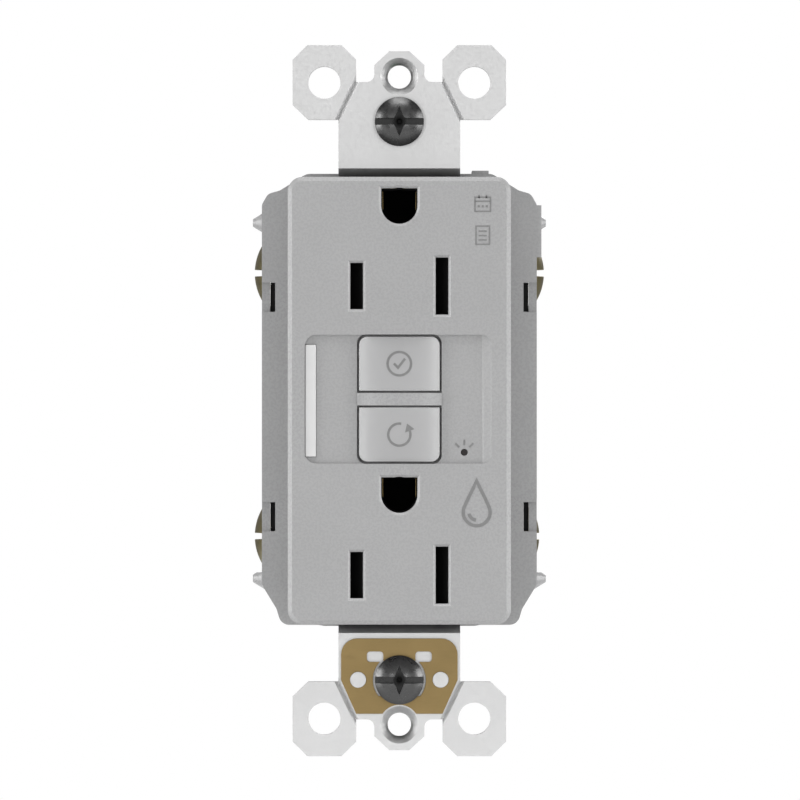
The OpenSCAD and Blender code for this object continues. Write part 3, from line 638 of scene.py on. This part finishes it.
def patch(name, points, surface, node):
    """A filled printed shape, with its points in order round it."""
    rings = [[on_surface(p, surface, sunk) for p in points] for sunk in (-INK_PROUD, INK_SUNK)]
    add_piece(name, tube_mesh(name, [(rings, False)]), node, MATERIALS["mark_ink"], smooth=False)


def arc(x, z, radius, start, end, count=28):
    turns = [start + (end - start) * i / count for i in range(count + 1)]
    return [Vector((x, z)) + pointing(degrees) * radius for degrees in turns]


def box_outline(x, z, half_x, half_z):
    return [(x + half_x * right, z + half_z * up) for right, up in ((-1, -1), (1, -1), (1, 1), (-1, 1))]


def test_mark():
    """A tick in a ring."""
    z = middle("test_button")
    ring = (arc(0, z, 1.75, 0, 360)[:-1], True)
    tick = ([(-0.8, z + 0.05), (-0.2, z - 0.6), (0.85, z + 0.75)], False)
    ribbon("test_mark", [ring, tick], BUTTON_LINE, scooped, "test_button")


def reset_mark():
    """An arrow that turns back on itself."""
    z = middle("reset_button")
    radius, start, end = 1.65, 80, 380
    head_half, head_length = 0.75, 1.15
    ribbon("reset_mark", [(arc(0, z, radius, start, end), False)], BUTTON_LINE, scooped, "reset_button")
    out, ahead = pointing(end), pointing(end + 90)
    tip = Vector((0, z)) + out * radius
    arrow = [tip + out * head_half, tip + ahead * head_length, tip - out * head_half]
    patch("reset_arrow", arrow, scooped, "reset_button")


def fault_light_mark():
    """Three rays over the fault light."""
    light = Vector((9.66, -7.68))
    near, far = 1.05, 1.9
    rays = [([light + pointing(degrees) * near, light + pointing(degrees) * far], False)
            for degrees in (45, 90, 135)]
    ribbon("fault_light_mark", rays, 0.3, panel, "front_cover")


def weather_mark():
    """A droplet with a glint in it."""
    x, z = 11.5, -16.6
    top = 4.7
    flank = [(1.25, 2.1), (0.5, 3.6)]
    drop = arc(x, z, 2.0, -200, 20, 30)
    drop += [(x + dx, z + dz) for dx, dz in flank] + [(x, z + top)]
    drop += [(x - dx, z + dz) for dx, dz in reversed(flank)]
    ribbon("weather_mark", [(drop, True), (arc(x, z, 1.15, 190, 265, 10), False)], 0.5, face, "front_cover")


def calendar_mark():
    """A calendar page with its two rings and three days."""
    x, z = 12.4, 29.2
    half_x, half_z, rule, day = 1.15, 1.05, 1.1, 0.16
    lines = [(box_outline(x, z, half_x, half_z), True)]
    lines += [([(x - rule, z + 0.45), (x + rule, z + 0.45)], False)]
    lines += [([(x + dx, z + 0.9), (x + dx, z + 1.4)], False) for dx in (-0.55, 0.55)]
    ribbon("calendar_mark", lines, FINE_LINE, face, "front_cover")
    for i, dx in enumerate((-0.6, 0, 0.6)):
        patch(f"calendar_day_{i}", box_outline(x + dx, z - 0.3, day, day), face, "front_cover")


def leaflet_mark():
    """A page with three lines on it."""
    x, z = 12.4, 24.6
    half_x, half_z, line_half = 1.0, 1.35, 0.6
    lines = [(box_outline(x, z, half_x, half_z), True)]
    lines += [([(x - line_half, z + dz), (x + line_half, z + dz)], False) for dz in (-0.7, -0.05, 0.6)]
    ribbon("leaflet_mark", lines, FINE_LINE, face, "front_cover")


for mark in (test_mark, reset_mark, fault_light_mark, weather_mark, calendar_mark, leaflet_mark):
    mark()


# ---------- dark pads at the bottom of the ground wells, standing in for the shade deep inside ---
def well_shade_pad(place):
    """A thin dark pad on the well's floor, a sheet that stands in for the shade deep in the well; the sizes
    are in millimetres.
    """
    well_floor, gap, thickness = 14.6, 0.05, 0.25
    half_x, below, above = 3.4, 3.3, 3.2
    z = middle(f"{place}_ground_contact")
    low = Vector((-half_x, well_floor - gap - thickness, z - below))
    high = Vector((half_x, well_floor - gap, z + above))
    size = high - low
    bm = bmesh.new()
    bmesh.ops.create_cube(bm, size=1)
    for v in bm.verts:
        v.co = (low + size * 0.5 + v.co * size) * MM
    name = f"{place}_well_shade_pad"
    add_piece(name, finished(bm, name), f"{place}_shutter_base", smooth=False)


for place in ("upper", "lower"):
    well_shade_pad(place)


# ---------- the nodes that keep their CAD shape, and those hidden under a shell ----------
for node_name, obj in NODES.items():
    obj.data.materials.clear()
    obj.data.materials.append(finish_of(node_name))


# ---------- floor ----------
FLOOR_RADIUS = 0.42
FLOOR_DROP = 0.07     # how far the floor lies below the outlet


def add_floor():
    bm = bmesh.new()
    bmesh.ops.create_circle(bm, cap_ends=True, radius=FLOOR_RADIUS, segments=96)
    floor = bpy.data.objects.new("floor", finished(bm, "floor"))
    floor.location.z = cad_box[0].z - FLOOR_DROP
    bpy.context.scene.collection.objects.link(floor)
    pale = Shader("floor_pale")
    low, high = Shader.NOISE_SPAN
    pale.colour(pale.ramp(pale.noise(6, 2), [(low, grey(0.86)), (high, grey(0.9))]))
    pale.rough(pale.noise(30, 3), 0.55, 0.7)
    floor.data.materials.append(pale.material)


add_floor()


# ---------- lights ----------
CENTRE = Vector((0, 0, 0))


def area_light(name, place, width, height, watts):
    """A rectangular light that faces the outlet; places and sizes are in metres."""
    light = bpy.data.lights.new(name, "AREA")
    light.shape = "RECTANGLE"
    light.size = width
    light.size_y = height
    light.energy = watts
    obj = bpy.data.objects.new(name, light)
    obj.location = place
    obj.rotation_euler = (CENTRE - Vector(place)).to_track_quat("-Z", "Y").to_euler()
    bpy.context.scene.collection.objects.link(obj)


area_light("left_box", (-1.2, -0.3, 0.1), 0.5, 0.9, 12)
area_light("right_box", (1.2, -0.32, 0.1), 0.5, 0.9, 11)
area_light("top_box", (0, -0.3, 1.2), 0.9, 0.5, 9.5)
area_light("back_box", (0.3, 1.0, 0.5), 0.6, 0.6, 5)
for side in (-1, 1):
    area_light(f"strip_{side}", (side * 0.72, -1.56, 0.05), 0.1, 0.8, 3.4)


# ---------- world ----------
CARD_LEVEL = 0.55
CARD_SPAN = (-0.45, -0.95)     # from the card's edge to its middle, as a direction's share of Y
ROOM_LEVELS = (0.16, 0.42)
ROOM_SPAN = (-0.8, 0.9)


def make_world():
    """A white backdrop for the camera; for everything else a dim room with a bright card in front."""
    world = bpy.data.worlds.new("studio")
    bpy.context.scene.world = world
    world.use_nodes = True
    tree = world.node_tree
    tree.nodes.clear()
    link = tree.links.new
    direction = add_node(tree, "ShaderNodeSeparateXYZ")
    link(add_node(tree, "ShaderNodeTexCoord").outputs["Generated"], direction.inputs["Vector"])
    card = map_range(tree, direction.outputs["Y"], CARD_SPAN, (0.0, CARD_LEVEL), "SMOOTHSTEP")
    room = map_range(tree, direction.outputs["Z"], ROOM_SPAN, ROOM_LEVELS)
    total = add_node(tree, "ShaderNodeMath", operation="ADD")
    link(card, total.inputs[0])
    link(room, total.inputs[1])
    lit = add_node(tree, "ShaderNodeBackground")
    link(total.outputs["Value"], lit.inputs["Strength"])
    seen = add_node(tree, "ShaderNodeBackground")
    seen.inputs["Color"].default_value = (1, 1, 1, 1)
    mix = add_node(tree, "ShaderNodeMixShader")
    link(add_node(tree, "ShaderNodeLightPath").outputs["Is Camera Ray"], mix.inputs["Fac"])
    link(lit.outputs["Background"], mix.inputs[1])
    link(seen.outputs["Background"], mix.inputs[2])
    link(mix.outputs["Shader"], add_node(tree, "ShaderNodeOutputWorld").inputs["Surface"])


make_world()


# ---------- camera ----------
SENSOR_MM = 36
VIEW_HEIGHT = 0.1196     # what the picture shows at the outlet, in metres
DISTANCE = 1.2
ASIDE = 0.1 * MM     # how far the camera stands off the outlet's middle


def add_camera(scene):
    data = bpy.data.cameras.new("camera")
    data.sensor_width = SENSOR_MM
    data.lens = SENSOR_MM * DISTANCE / VIEW_HEIGHT
    data.clip_start = 0.01
    data.clip_end = 10
    camera = bpy.data.objects.new("camera", data)
    camera.location = (ASIDE, -DISTANCE, ASIDE)
    camera.rotation_euler = (math.radians(90), 0, 0)
    scene.collection.objects.link(camera)
    scene.camera = camera


scene = bpy.context.scene
add_camera(scene)
scene.view_settings.view_transform = "Standard"
scene.view_settings.look = "None"
